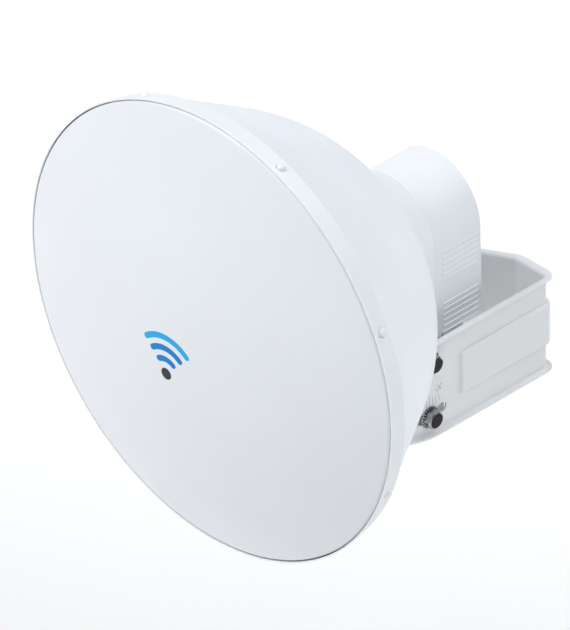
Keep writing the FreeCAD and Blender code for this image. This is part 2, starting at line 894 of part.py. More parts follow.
def make_hub_screws():
    """Four screws from inside the bowl, through the yoke into the neck."""
    body = new_body("hub_screws")
    seat = S.hub_depth - S.bowl_wall
    heads = sketch_on(body, "XZ_Plane", -seat)
    draw_hub_holes(heads, S.screw_head_radius)
    pad(body, heads, S.screw_head_height)
    shanks = sketch_on(body, "XZ_Plane", -seat)
    draw_hub_holes(shanks, S.screw_radius)
    pad(body, shanks, S.bowl_wall + S.yoke_gauge + S.neck_front_gauge, reverse=True)


def loft(body, kind, first, second):
    item = feature(body, kind, first)
    item.Sections = [(second, [""])]
    doc.recompute()
    return item


def make_neck():
    """Flared arch-shaped duct from the yoke back to the radio plate."""
    body = new_body("neck")
    front = S.hub_depth + S.yoke_gauge
    outside_front = sketch_on(body, "XZ_Plane", -front)
    draw_arch(outside_front, S.neck_front_half, S.neck_front_half, S.neck_bottom)
    outside_back = sketch_on(body, "XZ_Plane", -S.neck_back)
    draw_arch(outside_back, S.neck_back_half, S.neck_back_half, S.neck_bottom)
    loft(body, "AdditiveLoft", outside_front, outside_back)
    before = body.Shape.Volume
    inner_front = S.neck_front_half - S.neck_wall
    inner_back = S.neck_back_half - S.neck_wall
    floor = S.neck_bottom + S.neck_wall
    inside_front = sketch_on(body, "XZ_Plane", -(front + S.neck_front_gauge))
    draw_arch(inside_front, inner_front - S.neck_draft, inner_front - S.neck_draft, floor)
    inside_back = sketch_on(body, "XZ_Plane", -S.neck_back)
    draw_arch(inside_back, inner_back, inner_back, floor)
    loft(body, "SubtractiveLoft", inside_front, inside_back)
    must_shrink(body, before, "inside loft")
    holes = sketch_on(body, "XZ_Plane", -front)
    draw_circle(holes, 0, 0, S.neck_front_bore)
    draw_hub_holes(holes, S.screw_tap)
    cut(body, holes, S.neck_front_gauge)


def make_radio_plate():
    """Plate that carries the radio; its rounded edge is the ridge in front of the shroud."""
    body = new_body("radio_plate")
    sketch = sketch_on(body, "XZ_Plane", -S.neck_back)
    draw_arch(sketch, S.plate_half, S.plate_half, S.plate_bottom)
    pad(body, sketch, S.plate_back - S.neck_back, reverse=True)
    edge_x = S.plate_half.value
    rounded(body, S.plate_edge_round, lambda edge: (
        not is_along(edge, (0, 1, 0)) and not lies(edge, z=(S.plate_bottom.value, S.plate_bottom.value))
        and (lies(edge, x=(edge_x, edge_x)) or lies(edge, x=(-edge_x, -edge_x))
             or edge.BoundBox.ZMax > 0.5)))
    window = sketch_on(body, "XZ_Plane", -S.neck_back)
    draw_arch(window, S.plate_window, S.plate_window, S.plate_window_sill)
    cut(body, window, S.plate_back, both=True)
    holes = sketch_on(body, "XZ_Plane", -S.neck_back)
    draw_shroud_holes(holes, S.screw_hole)
    cut(body, holes, S.plate_back, both=True)


def draw_shroud_holes(sketch, radius):
    for across in (-S.shroud_boss_place, S.shroud_boss_place):
        for up in (S.shroud_boss_high, S.shroud_boss_low):
            draw_circle(sketch, across, up, radius)


# ---------------------------------------------------------------- the shroud

def shroud_side(height):
    """Half width of the shroud's drafted side at a height below the arch."""
    return S.shroud_half + (S.shroud_foot_half - S.shroud_half) * height / S.plate_bottom


def draw_rib(sketch, height):
    """One fine rib in section, standing on the shroud's side."""
    side = shroud_side(height)
    root_in = side - S.rib_height
    crest = side + S.rib_height
    draw_path(sketch, [
        (root_in, height - S.rib_base / 2),
        (side, height - S.rib_base / 2),
        (crest, height - S.rib_crest / 2),
        (crest, height + S.rib_crest / 2),
        (side, height + S.rib_base / 2),
        (root_in, height + S.rib_base / 2),
    ])


def make_shroud():
    """Arched cover of the radio: open at the front and below, with two groups of ribs."""
    body = new_body("radio_shroud")
    outside = sketch_on(body, "XZ_Plane", -S.plate_back)
    draw_arch(outside, S.shroud_half, S.shroud_foot_half, S.plate_bottom)
    pad(body, outside, S.shroud_foot_back + S.overshoot - S.plate_back, reverse=True)
    lean = (S.shroud_foot_back - S.shroud_back) / (S.shroud_half - S.plate_bottom)
    top = S.shroud_half + S.overshoot
    foot = S.plate_bottom - S.overshoot
    far = S.shroud_foot_back + S.overshoot * 5
    slope = sketch_on(body, "YZ_Plane")
    draw_path(slope, [
        (S.shroud_back - lean, top),
        (S.shroud_foot_back + lean, foot),
        (far, foot),
        (far, top),
    ])
    cut(body, slope, S.shroud_half * RIGHT_THROUGH, both=True)
    back = (S.shroud_back - S.overshoot / 2).value
    low = foot.value + 2 * S.overshoot.value
    rounded(body, S.shroud_edge_round, lambda edge: (
        edge.BoundBox.YMin > back and edge.BoundBox.ZMax > low))
    inside = sketch_on(body, "XZ_Plane", -S.plate_back)
    draw_arch(inside, S.shroud_half - S.shroud_wall, S.shroud_foot_half - S.shroud_wall,
              foot)
    cut(body, inside, S.shroud_back - S.shroud_wall - S.plate_back)
    ribs = sketch_on(body, "XZ_Plane", -S.rib_front)
    for start in (S.rib_upper, S.rib_lower):
        for number in range(int(S.rib_count.value)):
            draw_rib(ribs, start - S.rib_pitch * number)
    first = pad(body, ribs, S.rib_back - S.rib_front, reverse=True)
    mirrored(body, [first])
    bosses = sketch_on(body, "XZ_Plane", -S.plate_back)
    for height in (S.shroud_boss_high, S.shroud_boss_low):
        wall = shroud_side(height) - S.shroud_wall / 2
        draw_box(bosses, S.shroud_boss_inside, height - S.shroud_boss_half, wall,
                 height + S.shroud_boss_half)
        draw_circle(bosses, S.shroud_boss_place, height, S.screw_tap)
    first = pad(body, bosses, S.shroud_boss_length, reverse=True)
    mirrored(body, [first])


# ---------------------------------------------------------------- the bracket

def band_line(offset, start):
    """Half of the band's outline, moved outwards by offset, from the front to the fold of the V."""
    across = S.band_outside + offset
    fold = S.vee_half + offset * tangent(S.vee_angle / 2)
    return [(across, start), (across, offset), (fold, offset)]


def band_point_of_vee(offset):
    depth = S.vee_half * tangent(S.vee_angle)
    return (0, offset / cosine(S.vee_angle) - depth)


def band_strip(inner, outer, nose):
    """Closed outline of the band between two offsets from its outer face.

    The outer line comes nearer to the wall towards the nose of the V, where its offset is nose.
    """
    right_outer = band_line(outer, S.band_front)
    right_inner = band_line(inner, S.band_front)
    left_outer = [(-x, y) for x, y in right_outer]
    left_inner = [(-x, y) for x, y in right_inner]
    return [
        *right_outer, band_point_of_vee(nose), *reversed(left_outer),
        *left_inner, band_point_of_vee(inner), *reversed(right_inner),
    ]


def make_band():
    """Pressed steel band: flanged edges, embossed flanks, a V for the pole and slots for tilt."""
    body = new_body("mount_band", FIXED)
    height = S.band_half_height * 2
    whole = band_strip(-S.band_gauge, S.band_flange, S.vee_flange)
    pad(body, draw_path(sketch_on(body, "XY_Plane"), whole), height, both=True)
    between_flanges = band_strip(size(0), S.band_flange + S.overshoot, S.vee_flange + S.overshoot)
    cut(body, draw_path(sketch_on(body, "XY_Plane"), between_flanges), height - S.band_gauge * 2, both=True)
    round_band_corners(body)
    panel = sketch_on(body, "XY_Plane")
    root_depth = S.band_gauge / 2
    draw_path(panel, [
        (S.band_outside - root_depth, S.panel_start),
        (S.band_outside + S.panel_rise, S.panel_start),
        (S.band_outside + S.panel_rise, S.panel_rise - S.panel_corner),
        (S.band_outside + S.panel_rise - S.panel_corner, S.panel_rise, S.panel_corner),
        (S.panel_end, S.panel_rise),
        (S.panel_end, -root_depth),
        (S.band_outside - S.band_corner, -root_depth),
        (S.band_outside - root_depth, -S.band_corner, -(S.band_corner - root_depth)),
    ])
    first = pad(body, panel, S.panel_half * 2, both=True)
    mirrored(body, [first])
    rounded(body, S.panel_round, is_panel_rim)
    hollow_panels(body)
    trim_nose(body)
    add_swept_flange(body)
    round_flanges(body)
    cut_band_holes(body)


def round_band_corners(body):
    """Bend radii of the corners, of the folds of the V and of its nose, face by face."""
    faces = [(-S.band_gauge, -S.band_gauge), (size(0), size(0)), (S.band_flange, S.vee_flange)]
    for offset, nose_offset in faces:
        corner = (S.band_outside + offset, offset)
        fold = band_line(offset, S.band_front)[2]
        nose = band_point_of_vee(nose_offset)
        round_upright(body, corner, S.band_corner + offset)
        round_upright(body, fold, S.vee_round + offset)
        round_upright(body, nose, S.vee_nose_round - nose_offset)


def round_upright(body, place, radius):
    """Round the upright edges at a place in plan and at its mirror image."""
    x = size(place[0]).value
    y = size(place[1]).value
    rounded(body, radius, lambda edge: is_along(edge, (0, 0, 1)) and (
        lies(edge, x=(x, x), y=(y, y)) or lies(edge, x=(-x, -x), y=(y, y))))


def trim_nose(body):
    """Cut the band's front to its side view: a leaning nose and an upswept lower edge."""
    low = S.band_half_height + S.overshoot
    far = S.band_front - S.overshoot
    drop = root(S.sweep_radius * S.sweep_radius - S.sweep_reach * S.sweep_reach)
    centre = S.sweep_radius - S.band_half_height
    sketch = sketch_on(body, "YZ_Plane")
    draw_path(sketch, [
        (S.sweep_start, -S.band_half_height),
        (S.sweep_start - S.sweep_reach, centre - drop, -S.sweep_radius),
        (S.nose_low, S.nose_low_height, -S.nose_round),
        (S.nose_top, S.band_half_height),
        (S.nose_top, low),
        (far, low),
        (far, -low),
        (S.sweep_start, -low),
    ])
    cut(body, sketch, S.band_outside * RIGHT_THROUGH, both=True)


def add_swept_flange(body):
    """The lower flange goes on along the upswept edge."""
    reach = S.sweep_reach
    inner = S.sweep_radius - S.band_gauge
    centre = S.sweep_radius - S.band_half_height
    sketch = sketch_on(body, "YZ_Plane", S.band_outside - S.band_gauge)
    draw_path(sketch, [
        (S.sweep_start, -S.band_half_height, S.sweep_radius),
        (S.sweep_start, S.band_gauge - S.band_half_height),
        (S.sweep_start - reach, centre - root(inner * inner - reach * reach), -inner),
        (S.sweep_start - reach, centre - root(S.sweep_radius * S.sweep_radius - reach * reach)),
    ])
    first = pad(body, sketch, S.band_gauge + S.band_flange)
    mirrored(body, [first])


def round_flanges(body):
    """Bend radii and dulled edges of the flanges; each one runs on all round the band."""
    wall = S.band_outside
    lip = S.band_outside + S.band_flange
    top = S.band_half_height
    under = S.band_half_height - S.band_gauge
    for across, up, radius in (
        (lip, top, S.flange_edge_round),
        (lip, under, S.flange_edge_round),
        (lip, -top, S.flange_edge_round),
        (wall, under, S.flange_bend),
        (wall, -under, S.flange_bend),
        (wall - S.band_gauge, top, S.flange_crown_top),
        (wall - S.band_gauge, -top, S.flange_crown_foot),
    ):
        x = across.value
        z = up.value
        rounded(body, radius, lambda edge: is_along(edge, (0, 1, 0)) and (
            lies(edge, x=(x, x), z=(z, z)) or lies(edge, x=(-x, -x), z=(z, z))))


def on_slot(radius, turn, along=0):
    """A point of the tilt slot: a radius from the pivot, turned from straight down."""
    station, height = PIVOT[1:]
    return (station + radius * sine(turn) + along * cosine(turn),
            height - radius * cosine(turn) + along * sine(turn))


def cut_band_holes(body):
    """Pivot holes and curved tilt slots in the flanks, clamp holes in the back."""
    near = S.lock_drop - S.slot_half
    far = S.lock_drop + S.slot_half
    turn = S.slot_angle
    flanks = sketch_on(body, "YZ_Plane")
    draw_circle(flanks, *PIVOT[1:], S.pivot_hole)
    draw_path(flanks, [
        (*on_slot(far, -turn), S.slot_half),
        (*on_slot(far, turn), far),
        (*on_slot(S.lock_drop, turn, S.slot_half), S.slot_half),
        (*on_slot(near, turn), S.slot_half),
        (*on_slot(near, -turn), -near),
        (*on_slot(S.lock_drop, -turn, -S.slot_half), S.slot_half),
    ])
    cut(body, flanks, S.band_outside * RIGHT_THROUGH, both=True)
    back = sketch_on(body, "XZ_Plane")
    for across in (-S.clamp_half_x, S.clamp_half_x):
        for up in (-S.clamp_half_z, S.clamp_half_z):
            draw_circle(back, across, up, S.clamp_hole)
    cut(body, back, S.band_gauge * RIGHT_THROUGH, both=True)


def hollow_panels(body):
    """The pressed panels are hollow from inside, so the sheet keeps its gauge."""
    skin = S.panel_rise - S.band_gauge
    corner = S.panel_corner - S.band_gauge
    inside = S.band_gauge + S.overshoot
    sketch = sketch_on(body, "XY_Plane")
    draw_path(sketch, [
        (S.band_outside - inside, S.panel_start + S.band_gauge),
        (S.band_outside + skin, S.panel_start + S.band_gauge),
        (S.band_outside + skin, skin - corner),
        (S.band_outside + skin - corner, skin, corner),
        (S.panel_end + S.band_gauge, skin),
        (S.panel_end + S.band_gauge, -inside),
        (S.band_outside - inside, -inside),
    ])
    first = cut(body, sketch, (S.panel_half - S.band_gauge) * 2, both=True)
    mirrored(body, [first])


def is_panel_rim(edge):
    """True for an outer edge of a raised panel, but not for the seams of its corner bend."""
    box = edge.BoundBox
    proud_x = (S.band_outside + S.panel_rise).value - NEAR
    proud_y = S.panel_rise.value - NEAR
    if max(abs(box.ZMin), abs(box.ZMax)) > S.panel_half.value + NEAR:
        return False
    bend_x = (S.band_outside + S.panel_rise - S.panel_corner).value
    bend_y = (S.panel_rise - S.panel_corner).value
    reach_x = min(abs(box.XMin), abs(box.XMax))
    if is_along(edge, (0, 0, 1)) and (abs(box.YMin - bend_y) < NEAR or abs(reach_x - bend_x) < NEAR):
        return False
    on_bend = edge.Curve.TypeId == "Part::GeomCircle" and box.YMax > proud_y and box.YMin < bend_y + NEAR
    return reach_x > proud_x or box.YMin > proud_y or on_bend


# ---------------------------------------------------------------- the radio

def make_radio_front():
    body = new_body("radio_front_case")
    outside = sketch_on(body, "XZ_Plane", -S.radio_front)
    draw_round_box(outside, S.radio_half, S.radio_bottom, S.radio_top, S.radio_corner)
    pad(body, outside, S.radio_seam - S.radio_front, reverse=True)
    front = S.radio_front.value
    rounded(body, S.radio_front_round, lambda edge: lies(edge, y=(front, front)))
    hollow_case(body, S.radio_front + S.radio_wall, S.radio_seam)


def hollow_case(body, start, end):
    """Empty the case between two depths, leaving its wall and four screw bosses."""
    inside = sketch_on(body, "XZ_Plane", -start)
    draw_round_box(inside, S.radio_half - S.radio_wall, S.radio_bottom + S.radio_wall,
                   S.radio_top - S.radio_wall, S.radio_corner - S.radio_wall)
    cut(body, inside, end - start)
    bosses = sketch_on(body, "XZ_Plane", -start)
    draw_case_holes(bosses, S.case_boss_radius)
    pad(body, bosses, end - start, reverse=True)
    holes = sketch_on(body, "XZ_Plane", -start)
    draw_case_holes(holes, S.screw_tap)
    cut(body, holes, end - start)


def draw_case_holes(sketch, radius):
    for across in (-S.case_screw_place, S.case_screw_place):
        for up in (S.case_screw_low, S.case_screw_high):
            draw_circle(sketch, across, up, radius)


def make_radio_seal():
    body = new_body("radio_seal")
    sketch = sketch_on(body, "XZ_Plane", -S.radio_seam)
    inset = S.radio_seal_inset
    draw_round_box(sketch, S.radio_half - inset, S.radio_bottom + inset, S.radio_top - inset,
                   S.radio_corner - inset)
    draw_round_box(sketch, S.radio_half - S.radio_wall, S.radio_bottom + S.radio_wall,
                   S.radio_top - S.radio_wall, S.radio_corner - S.radio_wall)
    pad(body, sketch, S.radio_seal, reverse=True)


def make_radio_rear():
    """Cast rear case: cooling fins, socket holes above, jack openings below."""
    body = new_body("radio_rear_case")
    front = S.radio_seam + S.radio_seal
    outside = sketch_on(body, "XZ_Plane", -front)
    draw_round_box(outside, S.radio_half, S.radio_bottom, S.radio_top, S.radio_corner)
    pad(body, outside, S.radio_back_wall - front, reverse=True)
    inside = sketch_on(body, "XZ_Plane", -front)
    draw_round_box(inside, S.radio_half - S.radio_wall, S.radio_bottom + S.radio_wall,
                   S.radio_top - S.radio_wall, S.radio_corner - S.radio_wall)
    cut(body, inside, S.radio_back_wall - S.radio_wall - front)
    bosses = sketch_on(body, "XZ_Plane", -front)
    draw_case_holes(bosses, S.case_boss_radius)
    pad(body, bosses, S.radio_back_wall - front, reverse=True)
    fin = sketch_on(body, "XZ_Plane", -S.radio_back_wall)
    left = -S.fin_pitch * (S.fin_count - 1) / 2
    draw_box(fin, left - S.fin_gauge / 2, S.fin_bottom, left + S.fin_gauge / 2, S.fin_top)
    first = pad(body, fin, S.fin_back - S.radio_back_wall, reverse=True)
    repeat_along(body, first, S.fin_count, S.fin_pitch, "X_Axis")
    openings = sketch_on(body, "XZ_Plane", -front)
    draw_case_holes(openings, S.screw_tap)
    draw_circle(openings, 0, S.catch_height, S.catch_hole)
    draw_circle(openings, S.ground_place, S.ground_height, S.screw_tap)
    draw_lights(openings, S.light_radius + S.light_gap)
    cut(body, openings, S.fin_back - front)
    sockets = sketch_on(body, "XY_Plane", S.radio_top)
    for across in (-S.jumper_offset, S.jumper_offset):
        draw_circle(sockets, across, S.radio_socket_station, S.screw_radius)
    cut(body, sockets, S.radio_wall + S.overshoot)
    jacks = sketch_on(body, "XY_Plane", S.radio_bottom)
    for across in (-S.jack_place, S.jack_place):
        draw_box(jacks, across - S.jack_half, S.jack_front, across + S.jack_half, S.jack_back)
    cut(body, jacks, S.radio_wall + S.overshoot, reverse=True)


def draw_lights(sketch, radius):
    for step in (-3, -1, 1, 3):
        draw_circle(sketch, S.light_place * step, S.light_height, radius)


def make_radio_inside():
    board = new_body("radio_board")
    sketch = sketch_on(board, "XZ_Plane", -S.board_front)
    draw_box(sketch, -S.board_half, S.board_bottom, S.board_half, S.board_top)
    pad(board, sketch, S.board_gauge, reverse=True)
    can = new_body("board_shield")
    sketch = sketch_on(can, "XZ_Plane", -S.board_front)
    draw_box(sketch, -S.can_half, S.can_bottom, S.can_half, S.can_top)
    pad(can, sketch, S.can_depth)


def make_jacks():
    """Two network jacks, open downwards."""
    body = new_body("ethernet_jacks")
    outside = sketch_on(body, "XY_Plane", S.jack_bottom)
    inside = sketch_on(body, "XY_Plane", S.jack_bottom)
    wall = S.jack_half - S.jack_bore_half
    for across in (-S.jack_place, S.jack_place):
        draw_box(outside, across - S.jack_half, S.jack_front, across + S.jack_half, S.jack_back)
        draw_box(inside, across - S.jack_bore_half, S.jack_front + wall,
                 across + S.jack_bore_half, S.jack_back - wall)
    pad(body, outside, S.jack_top - S.jack_bottom)
    cut(body, inside, S.jack_top - S.jack_bottom - wall, reverse=True)


def make_radio_screws():
    lights = new_body("status_lights")
    sketch = sketch_on(lights, "XZ_Plane", -S.catch_front)
    draw_lights(sketch, S.light_radius)
    pad(lights, sketch, S.radio_back_wall + S.light_stand - S.catch_front, reverse=True)
    screws = new_body("case_screws")
    heads = sketch_on(screws, "XZ_Plane", -S.radio_back_wall)
    draw_case_holes(heads, S.case_screw_head_radius)
    pad(screws, heads, S.screw_head_height, reverse=True)
    shanks = sketch_on(screws, "XZ_Plane", -S.radio_back_wall)
    draw_case_holes(shanks, S.screw_radius)
    pad(screws, shanks, S.radio_back_wall - S.radio_front - S.radio_wall * 2)
    ground = new_body("ground_screw")
    head = sketch_on(ground, "XZ_Plane", -S.radio_back_wall)
    draw_circle(head, S.ground_place, S.ground_height, S.screw_head_radius)
    pad(ground, head, S.screw_head_height, reverse=True)
    shank = sketch_on(ground, "XZ_Plane", -S.radio_back_wall)
    draw_circle(shank, S.ground_place, S.ground_height, S.screw_radius)
    pad(ground, shank, S.radio_wall * 2)


def make_cradle():
    """Rail between the plate and the radio's flat front."""
    body = new_body("radio_cradle")
    base = sketch_on(body, "XZ_Plane", -S.plate_back)
    draw_box(base, -S.cradle_half, S.cradle_bottom, S.cradle_half, S.cradle_top)
    pad(body, base, S.radio_front - S.plate_back, reverse=True)
    middle = sketch_on(body, "XZ_Plane", -(S.plate_back + S.cradle_rail / 2))
    reach = S.cradle_half - S.cradle_rail
    draw_box(middle, -reach, S.cradle_bottom - S.overshoot, reach, S.cradle_top - S.cradle_rail)
    cut(body, middle, S.cradle_rail)


def make_shroud_screws():
    body = new_body("shroud_screws")
    heads = sketch_on(body, "XZ_Plane", -S.neck_back)
    draw_shroud_holes(heads, S.screw_head_radius)
    pad(body, heads, S.screw_head_height)
    shanks = sketch_on(body, "XZ_Plane", -S.neck_back)
    draw_shroud_holes(shanks, S.screw_radius)
    pad(body, shanks, S.plate_back - S.neck_back + S.shroud_boss_length, reverse=True)


def make_port_cover():
    """Cup that slides up over the jacks in the foot of the radio; its floor lets the leads out."""
    body = new_body("port_cover")
    gap = S.port_cover_gap
    wall = S.port_cover_wall
    half = S.radio_half + gap
    front = S.radio_front - gap
    back = S.radio_back_wall + gap
    outside = sketch_on(body, "XY_Plane", S.port_cover_bottom)
    draw_round_box(outside, half + wall, front - wall, back + wall, S.radio_wall)
    pad(body, outside, S.port_cover_rim - S.port_cover_bottom)
    inside = sketch_on(body, "XY_Plane", S.port_cover_bottom + wall)
    draw_box(inside, -half, front, half, back)
    cut(body, inside, S.port_cover_rim - S.port_cover_bottom, reverse=True)
    slot = sketch_on(body, "XY_Plane", S.port_cover_bottom)
    draw_box(slot, -S.port_slot_half, S.port_slot_front, S.port_slot_half, S.port_slot_back)
    cut(body, slot, wall * 2, reverse=True)


def make_catch():
    """Push button behind the radio's rear wall that frees the port cover."""
    body = new_body("cover_catch")
    flange = sketch_on(body, "XZ_Plane", -S.catch_front)
    draw_circle(flange, 0, S.catch_height, S.catch_flange)
    pad(body, flange, S.catch_flange_gauge, reverse=True)
    button = sketch_on(body, "XZ_Plane", -S.catch_front)
    draw_circle(button, 0, S.catch_height, S.catch_radius)
    pad(body, button, S.catch_back - S.catch_front, reverse=True)


# ---------------------------------------------------------------- pivots and locks

def make_bolts(label, place):
    """A hexagon flange bolt from each side, along X, with its head outside the band."""
    body = new_body(label, place)
    seat = S.band_outside + S.bolt_seat_gap
    neck = seat + S.bolt_flange_gauge + S.bolt_flange_slope
    corner = S.bolt_head_flats / cosine(30) / 2
    shaft = sketch_on(body, "XZ_Plane")
    draw_path(shaft, [
        (S.bolt_end, 0),
        (neck, 0),
        (neck, S.bolt_head_flats / 2),
        (seat + S.bolt_flange_gauge / 2, S.bolt_flange_radius),
        (seat, S.bolt_flange_radius),
        (seat, S.bolt_radius),
        (S.bolt_end, S.bolt_radius),
    ])
    first = turned(body, shaft, "X_Axis")
    head = draw_hexagon(sketch_on(body, "YZ_Plane", seat), 0, 0, S.bolt_head_flats)
    second = pad(body, head, S.bolt_head_end - seat)
    crown = sketch_on(body, "XZ_Plane")
    draw_path(crown, [
        (S.bolt_head_end, S.bolt_crown_radius),
        (S.bolt_head_end + S.overshoot, S.bolt_crown_radius),
        (S.bolt_head_end + S.overshoot, corner + S.overshoot),
        (S.bolt_head_end - S.bolt_crown_drop, corner + S.overshoot),
        (S.bolt_head_end - S.bolt_crown_drop, corner),
    ])
    third = grooved(body, crown, "X_Axis")
    mirrored(body, [first, second, third])


def make_rings(label, outline, bore, inside, thickness):
    """Four pieces round the bolts, one at each bolt on each side."""
    body = new_body(label)
    sketch = sketch_on(body, "YZ_Plane", inside)
    for height in (S.pivot_height, S.pivot_height - S.lock_drop):
        outline(sketch, S.pivot_station, height)
        draw_circle(sketch, S.pivot_station, height, bore)
    first = pad(body, sketch, thickness)
    mirrored(body, [first])


def make_nuts_and_spacers():
    def hexagon(sketch, across, up):
        draw_hexagon(sketch, across, up, S.nut_flats)

    def disc(sketch, across, up):
        draw_circle(sketch, across, up, S.spacer_radius)

    ear_inside = S.ear_outside - S.yoke_gauge
    room = S.band_outside - S.band_gauge - S.ear_outside
    make_rings("bolt_nuts", hexagon, S.nut_bore, ear_inside - S.nut_gauge, S.nut_gauge)
    make_rings("pivot_spacers", disc, S.spacer_bore, S.ear_outside, room - S.spacer_gap)


def finish(folder="parts"):
    """Check every object and write each node's solids to its own file."""
    doc.recompute()
    for item in doc.Objects:
        if "Invalid" in item.State or "Error" in item.State:
            raise RuntimeError(f"{item.Label} failed: {item.State}")
    for node in nodes:
        shape = node.Shape
        if shape.isNull() or not shape.isValid() or not shape.Solids:
            raise RuntimeError(f"{node.Label} has no sound solid")
    os.makedirs(folder, exist_ok=True)
    for node in nodes:
        node.Shape.exportStep(f"{folder}/{node.Label}.step")
        print(f"{node.Label}: {len(node.Shape.Solids)} solid(s), {node.Shape.Volume:.0f} mm3")


for make in (make_band, make_reflector, make_cover, make_gasket, make_ring, make_rim_screws,
             make_feed_tube, make_feed_lens, make_splash_plate, make_feed_nut, make_feed_housing,
             make_probes, make_sockets, make_jumper_plugs, make_yoke, make_hub_screws, make_neck,
             make_radio_plate, make_shroud, make_shroud_screws, make_cradle, make_radio_front,
             make_radio_seal, make_radio_rear, make_radio_inside, make_jacks, make_radio_screws,
             make_port_cover, make_catch, make_nuts_and_spacers):
    make()
make_jumper("jumper_left", -S.jumper_offset)
make_jumper("jumper_right", S.jumper_offset)
make_bolts("pivot_bolts", PIVOT)
make_bolts("lock_bolts", LOCK)
finish()
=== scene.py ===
"""Looks of the outdoor wireless bridge: its finishes, printed marks and small surface details.

Metres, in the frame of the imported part: +Z up, +Y towards the pole, and the dish looks along -Y.
"""
import bmesh
import bpy
import json
import math
from mathutils import Matrix, Vector


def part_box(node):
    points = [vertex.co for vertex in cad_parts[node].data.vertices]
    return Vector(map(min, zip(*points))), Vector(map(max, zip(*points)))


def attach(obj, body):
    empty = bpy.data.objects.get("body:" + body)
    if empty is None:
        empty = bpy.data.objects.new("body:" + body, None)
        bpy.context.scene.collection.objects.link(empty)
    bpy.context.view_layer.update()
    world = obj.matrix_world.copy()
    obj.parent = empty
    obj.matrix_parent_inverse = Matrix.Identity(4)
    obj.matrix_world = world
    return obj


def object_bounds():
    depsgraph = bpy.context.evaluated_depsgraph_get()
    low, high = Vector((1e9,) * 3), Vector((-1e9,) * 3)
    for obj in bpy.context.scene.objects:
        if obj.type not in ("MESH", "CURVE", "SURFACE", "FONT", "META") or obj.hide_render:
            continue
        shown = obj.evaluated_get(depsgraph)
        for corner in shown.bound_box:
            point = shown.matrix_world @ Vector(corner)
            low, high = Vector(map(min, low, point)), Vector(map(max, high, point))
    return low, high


MM = 0.001

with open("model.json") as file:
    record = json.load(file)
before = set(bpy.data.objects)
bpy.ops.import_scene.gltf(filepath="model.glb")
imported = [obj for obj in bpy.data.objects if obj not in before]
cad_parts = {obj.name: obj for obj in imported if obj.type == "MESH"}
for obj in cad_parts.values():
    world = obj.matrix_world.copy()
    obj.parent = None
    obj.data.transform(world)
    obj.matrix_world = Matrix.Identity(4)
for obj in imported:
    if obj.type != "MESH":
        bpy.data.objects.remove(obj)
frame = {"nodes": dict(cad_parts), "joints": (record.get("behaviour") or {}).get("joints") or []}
nodes = frame["nodes"]
joints = {joint["name"]: joint for joint in frame["joints"]}
cad_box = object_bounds()

DISH = "dish_assembly"
BRACKET = "pole_bracket"
COVER = "port_cover"
PIVOT = Vector(joints["elevation_tilt"]["pos_m"])
FLANGE_REACH = 4.5 * MM                                   # the bracket's edge beyond its side wall
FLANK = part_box("mount_band")[1].x - FLANGE_REACH          # X of the right side wall's outside
BOLT_SEAT = FLANK + 0.1 * MM                              # where the bolt flanges bear


# ---------------------------------------------------------------- places read from the frame

def middle_of(node):
    low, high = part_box(node)
    return (low + high) / 2


def dome_shape():
    """Centre and radius of the sphere that the front cover's face is part of.

    Each point near the face's edge gives a radius, and the middle one of them is taken.
    """
    edge_reach = 178 * MM
    edge_band = 3 * MM
    face_depth = 46.6 * MM
    apex = Vector((0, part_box("radome")[0].y, middle_of("radome").z))
    radii = []
    for vertex in nodes["radome"].data.vertices:
        reach = math.hypot(vertex.co.x, vertex.co.z - apex.z)
        depth = vertex.co.y - apex.y
        if abs(reach - edge_reach) < edge_band and depth < face_depth:
            radii.append((reach * reach + depth * depth) / (2 * depth))
    radius = sorted(radii)[len(radii) // 2]
    return apex + Vector((0, radius, 0)), radius


# ---------------------------------------------------------------- materials

